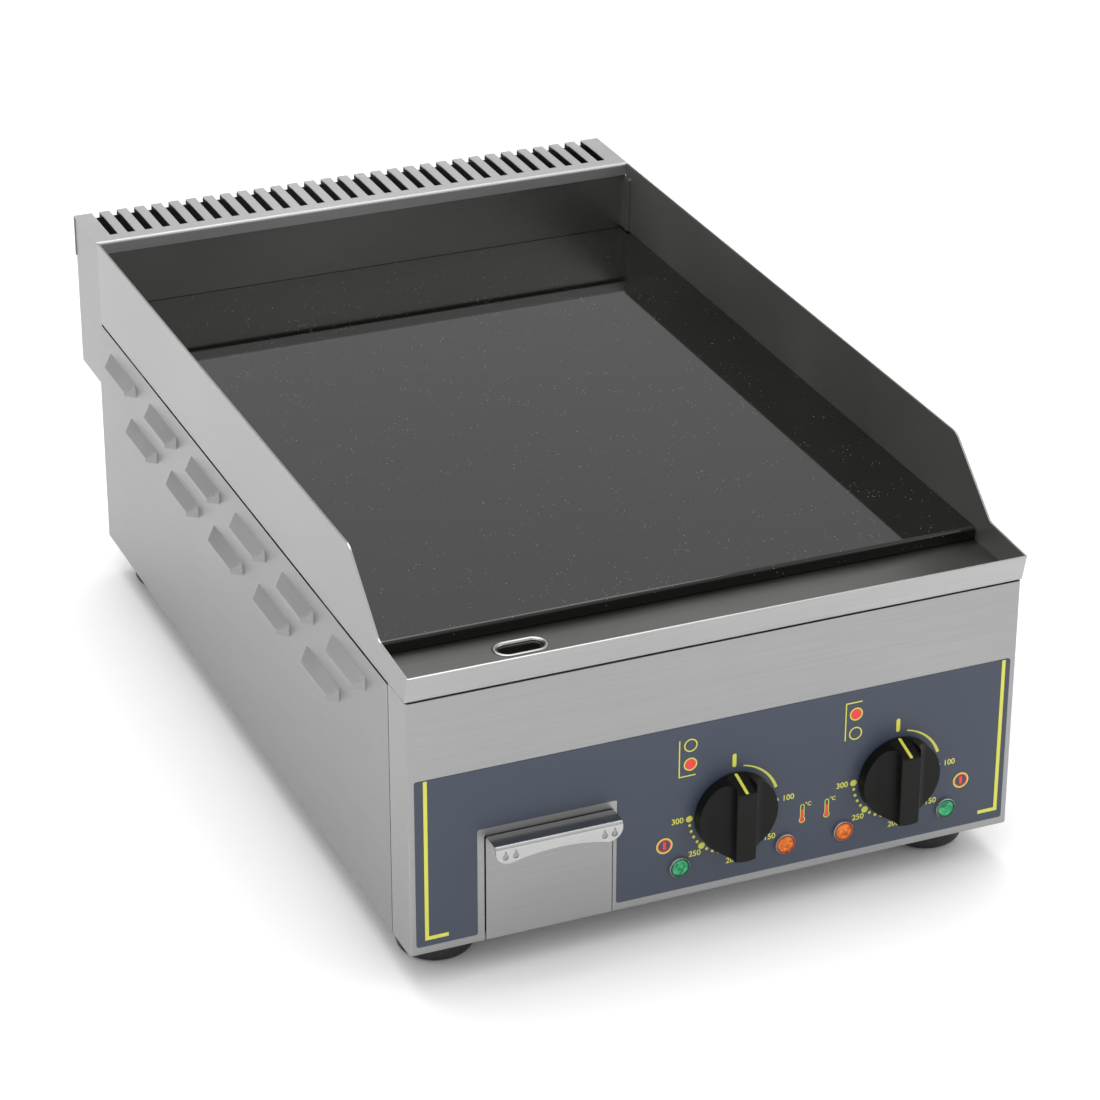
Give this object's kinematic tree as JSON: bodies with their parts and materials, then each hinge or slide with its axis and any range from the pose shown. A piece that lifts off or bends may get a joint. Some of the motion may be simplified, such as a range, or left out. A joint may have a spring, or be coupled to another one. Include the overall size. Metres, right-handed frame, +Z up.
{
  "type": "electric griddle",
  "caption": "Free-standing steel counter-top griddle with a splash-guarded hot plate, drain gutter, sliding grease drawer, zone control knobs, pilot lamps and a slotted rear vent cover.",
  "frame": {"origin": "centre of the bounding box on the surface the feet stand on", "axes": "+Z up, +Y from the control panel to the vent cover, +X to the right as seen from the front"},
  "size_m": [0.4116, 0.6678, 0.2555],
  "materials": {
    "steel_satin": "satin",
    "steel_galvanised": "satin",
    "steel_zinc": "satin",
    "enamel_black": "gloss",
    "element_sheath": "satin",
    "copper_bulb": "satin",
    "brass_bond": "satin",
    "rubber_black": "matte",
    "knob_black": "satin",
    "overlay_print": "satin",
    "lens_green": "gloss",
    "lens_amber": "gloss",
    "lamp_metal": "gloss",
    "device_grey": "matte",
    "gland_nylon": "matte",
    "wire_silicone": "matte",
    "wool_blanket": "matte"
  },
  "bodies": {
    "casing": {"left_side": "steel_satin", "right_side": "steel_satin", "front_panel": "steel_satin", "back_panel": "steel_satin", "rear_cover": "steel_satin", "splash_tray": "steel_satin", "drain_spout": "steel_satin", "left_drawer_guide": "steel_satin", "right_drawer_guide": "steel_satin", "base_plate": "steel_galvanised", "heat_shield": "steel_galvanised", "tray_brackets": "steel_galvanised", "cutout_bracket": "steel_galvanised", "clamp_bars": "steel_galvanised", "foot_screws": "steel_zinc", "foot_nuts": "steel_zinc", "plate_studs": "steel_zinc", "clamp_nuts": "steel_zinc", "shield_spacers": "steel_zinc", "spindle_nuts": "steel_zinc", "terminal_screws": "steel_zinc", "back_screws": "steel_zinc", "cover_screws": "steel_zinc", "griddle_plate": "enamel_black", "front_element": "element_sheath", "rear_element": "element_sheath", "front_zone_probe": "copper_bulb", "rear_zone_probe": "copper_bulb", "safety_probe": "copper_bulb", "bonding_stud": "brass_bond", "front_left_foot": "rubber_black", "front_right_foot": "rubber_black", "rear_left_foot": "rubber_black", "rear_right_foot": "rubber_black", "control_overlay": "overlay_print", "green_lamp_lenses": "lens_green", "amber_lamp_lenses": "lens_amber", "lamp_bodies": "lamp_metal", "lamp_nuts": "lamp_metal", "front_zone_thermostat": "device_grey", "rear_zone_thermostat": "device_grey", "safety_cutout": "device_grey", "terminal_block": "device_grey", "cable_gland": "gland_nylon", "gland_nut": "gland_nylon", "wiring": "wire_silicone", "insulation": "wool_blanket"},
    "drawer": {"drawer_box": "steel_satin", "drawer_front": "steel_satin"},
    "front_knob": {"front_zone_knob": "knob_black", "front_knob_spindle": "steel_zinc"},
    "rear_knob": {"rear_zone_knob": "knob_black", "rear_knob_spindle": "steel_zinc"}
  },
  "joints": [
    {"name": "front_knob_turn", "type": "hinge", "parent": "casing", "child": "front_knob", "pos_m": [0.0093, -0.3183, 0.078], "axis": [0, 1, 0], "range_deg": [0, 270]},
    {"name": "rear_knob_turn", "type": "hinge", "parent": "casing", "child": "rear_knob", "pos_m": [0.1193, -0.3183, 0.078], "axis": [0, 1, 0], "range_deg": [0, 270]},
    {"name": "drawer_slide", "type": "slide", "parent": "casing", "child": "drawer", "axis": [0, -1, 0], "range_m": [0, 0.22]}
  ]
}
